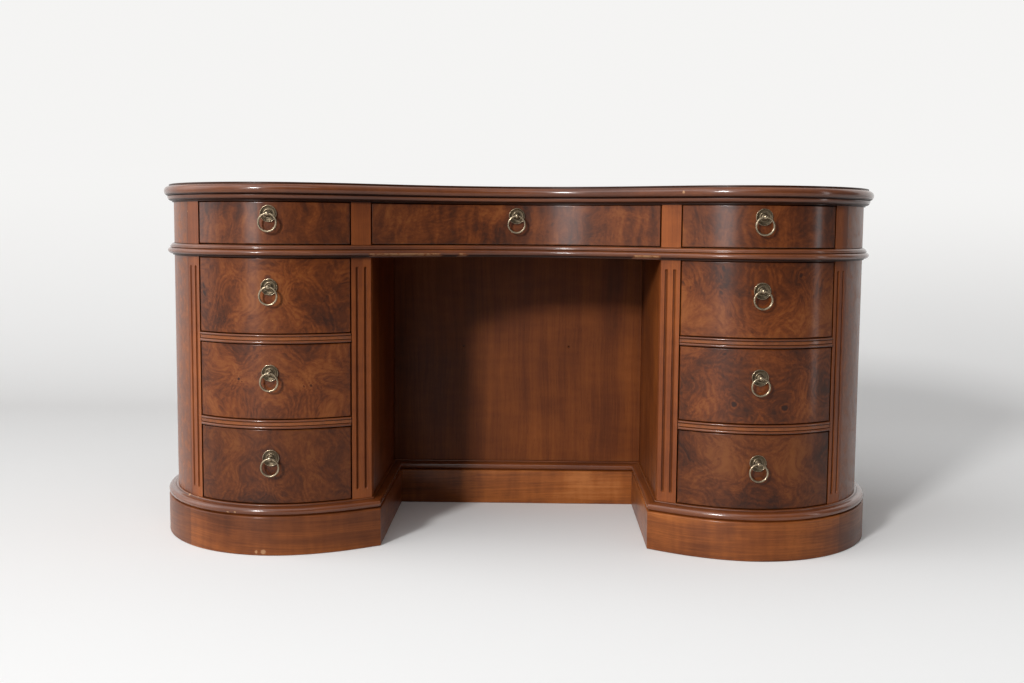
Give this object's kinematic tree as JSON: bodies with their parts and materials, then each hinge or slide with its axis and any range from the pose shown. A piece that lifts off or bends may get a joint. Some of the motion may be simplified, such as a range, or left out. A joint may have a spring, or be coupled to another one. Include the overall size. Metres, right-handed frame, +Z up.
{
  "type": "kidney shaped desk",
  "caption": "Kidney shaped kneehole desk on a plinth: bowed pedestal drawers, a hollow middle drawer, fluted pilasters, thumb mouldings and hanging ring pulls.",
  "frame": {"origin": "floor level, midway across the desk and midway in the depth of its top", "axes": "+X to the desk's right as seen from the chair, -Y towards the chair and the drawer fronts, +Z up"},
  "size_m": [1.574, 0.7865, 0.762],
  "materials": {
    "walnut": "satin French polish over figured walnut, worn on the mouldings",
    "walnut_burr": "polished burr walnut veneer",
    "walnut_straight_grain": "polished straight-grained walnut",
    "walnut_inside": "unpolished carcase wood",
    "drawer_lining": "plain oak, unpolished",
    "antique_brass": "dull antique brass, rubbed bright on its rims"
  },
  "bodies": {
    "root": {"base_board": "walnut_inside", "case_shell": "walnut", "frieze_band": "walnut", "frieze_floor": "walnut_inside", "frieze_outer_stile_left": "walnut", "frieze_outer_stile_right": "walnut", "frieze_partition_left": "walnut", "frieze_partition_right": "walnut", "inner_pilaster_left": "walnut_straight_grain", "inner_pilaster_right": "walnut_straight_grain", "kneehole_side_left": "walnut_straight_grain", "kneehole_side_right": "walnut_straight_grain", "modesty_panel": "walnut_straight_grain", "outer_pilaster_left": "walnut_straight_grain", "outer_pilaster_right": "walnut_straight_grain", "plinth_board": "walnut", "plinth_cap": "walnut", "rail_left_1": "walnut_straight_grain", "rail_left_2": "walnut_straight_grain", "rail_right_1": "walnut_straight_grain", "rail_right_2": "walnut_straight_grain", "top_board": "walnut", "under_moulding": "walnut", "waist_moulding": "walnut"},
    "drawer_left_3": {"drawer_front_left_3": "walnut_burr", "drawer_box_left_3": "drawer_lining", "pull_left_3": "antique_brass"},
    "ring_left_3": {"ring_left_3": "antique_brass"},
    "drawer_left_2": {"drawer_front_left_2": "walnut_burr", "drawer_box_left_2": "drawer_lining", "pull_left_2": "antique_brass"},
    "ring_left_2": {"ring_left_2": "antique_brass"},
    "drawer_left_1": {"drawer_front_left_1": "walnut_burr", "drawer_box_left_1": "drawer_lining", "pull_left_1": "antique_brass"},
    "ring_left_1": {"ring_left_1": "antique_brass"},
    "drawer_frieze_left": {"drawer_front_frieze_left": "walnut_burr", "drawer_box_frieze_left": "drawer_lining", "pull_frieze_left": "antique_brass"},
    "ring_frieze_left": {"ring_frieze_left": "antique_brass"},
    "drawer_right_3": {"drawer_front_right_3": "walnut_burr", "drawer_box_right_3": "drawer_lining", "pull_right_3": "antique_brass"},
    "ring_right_3": {"ring_right_3": "antique_brass"},
    "drawer_right_2": {"drawer_front_right_2": "walnut_burr", "drawer_box_right_2": "drawer_lining", "pull_right_2": "antique_brass"},
    "ring_right_2": {"ring_right_2": "antique_brass"},
    "drawer_right_1": {"drawer_front_right_1": "walnut_burr", "drawer_box_right_1": "drawer_lining", "pull_right_1": "antique_brass"},
    "ring_right_1": {"ring_right_1": "antique_brass"},
    "drawer_frieze_right": {"drawer_front_frieze_right": "walnut_burr", "drawer_box_frieze_right": "drawer_lining", "pull_frieze_right": "antique_brass"},
    "ring_frieze_right": {"ring_frieze_right": "antique_brass"},
    "drawer_frieze_centre": {"drawer_front_frieze_centre": "walnut_burr", "drawer_box_frieze_centre": "drawer_lining", "pull_frieze_centre": "antique_brass"},
    "ring_frieze_centre": {"ring_frieze_centre": "antique_brass"}
  },
  "joints": [
    {"name": "slide_left_3", "type": "slide", "parent": "root", "child": "drawer_left_3", "axis": [0, -1, 0], "range_m": [0, 0.32]},
    {"name": "swing_left_3", "type": "hinge", "parent": "drawer_left_3", "child": "ring_left_3", "pos_m": [-0.49825, -0.38578, 0.19933], "axis": [-1, 0, 0], "range_deg": [-12, 150]},
    {"name": "slide_left_2", "type": "slide", "parent": "root", "child": "drawer_left_2", "axis": [0, -1, 0], "range_m": [0, 0.32]},
    {"name": "swing_left_2", "type": "hinge", "parent": "drawer_left_2", "child": "ring_left_2", "pos_m": [-0.49825, -0.38578, 0.375], "axis": [-1, 0, 0], "range_deg": [-12, 150]},
    {"name": "slide_left_1", "type": "slide", "parent": "root", "child": "drawer_left_1", "axis": [0, -1, 0], "range_m": [0, 0.32]},
    {"name": "swing_left_1", "type": "hinge", "parent": "drawer_left_1", "child": "ring_left_1", "pos_m": [-0.49825, -0.38578, 0.55067], "axis": [-1, 0, 0], "range_deg": [-12, 150]},
    {"name": "slide_frieze_left", "type": "slide", "parent": "root", "child": "drawer_frieze_left", "axis": [0, -1, 0], "range_m": [0, 0.32]},
    {"name": "swing_frieze_left", "type": "hinge", "parent": "drawer_frieze_left", "child": "ring_frieze_left", "pos_m": [-0.49825, -0.38578, 0.69875], "axis": [-1, 0, 0], "range_deg": [-12, 150]},
    {"name": "slide_right_3", "type": "slide", "parent": "root", "child": "drawer_right_3", "axis": [0, -1, 0], "range_m": [0, 0.32]},
    {"name": "swing_right_3", "type": "hinge", "parent": "drawer_right_3", "child": "ring_right_3", "pos_m": [0.49825, -0.38578, 0.19933], "axis": [-1, 0, 0], "range_deg": [-12, 150]},
    {"name": "slide_right_2", "type": "slide", "parent": "root", "child": "drawer_right_2", "axis": [0, -1, 0], "range_m": [0, 0.32]},
    {"name": "swing_right_2", "type": "hinge", "parent": "drawer_right_2", "child": "ring_right_2", "pos_m": [0.49825, -0.38578, 0.375], "axis": [-1, 0, 0], "range_deg": [-12, 150]},
    {"name": "slide_right_1", "type": "slide", "parent": "root", "child": "drawer_right_1", "axis": [0, -1, 0], "range_m": [0, 0.32]},
    {"name": "swing_right_1", "type": "hinge", "parent": "drawer_right_1", "child": "ring_right_1", "pos_m": [0.49825, -0.38578, 0.55067], "axis": [-1, 0, 0], "range_deg": [-12, 150]},
    {"name": "slide_frieze_right", "type": "slide", "parent": "root", "child": "drawer_frieze_right", "axis": [0, -1, 0], "range_m": [0, 0.32]},
    {"name": "swing_frieze_right", "type": "hinge", "parent": "drawer_frieze_right", "child": "ring_frieze_right", "pos_m": [0.49825, -0.38578, 0.69875], "axis": [-1, 0, 0], "range_deg": [-12, 150]},
    {"name": "slide_frieze_centre", "type": "slide", "parent": "root", "child": "drawer_frieze_centre", "axis": [0, -1, 0], "range_m": [0, 0.28]},
    {"name": "swing_frieze_centre", "type": "hinge", "parent": "drawer_frieze_centre", "child": "ring_frieze_centre", "pos_m": [0, -0.19057, 0.69875], "axis": [-1, 0, 0], "range_deg": [-12, 150]}
  ]
}
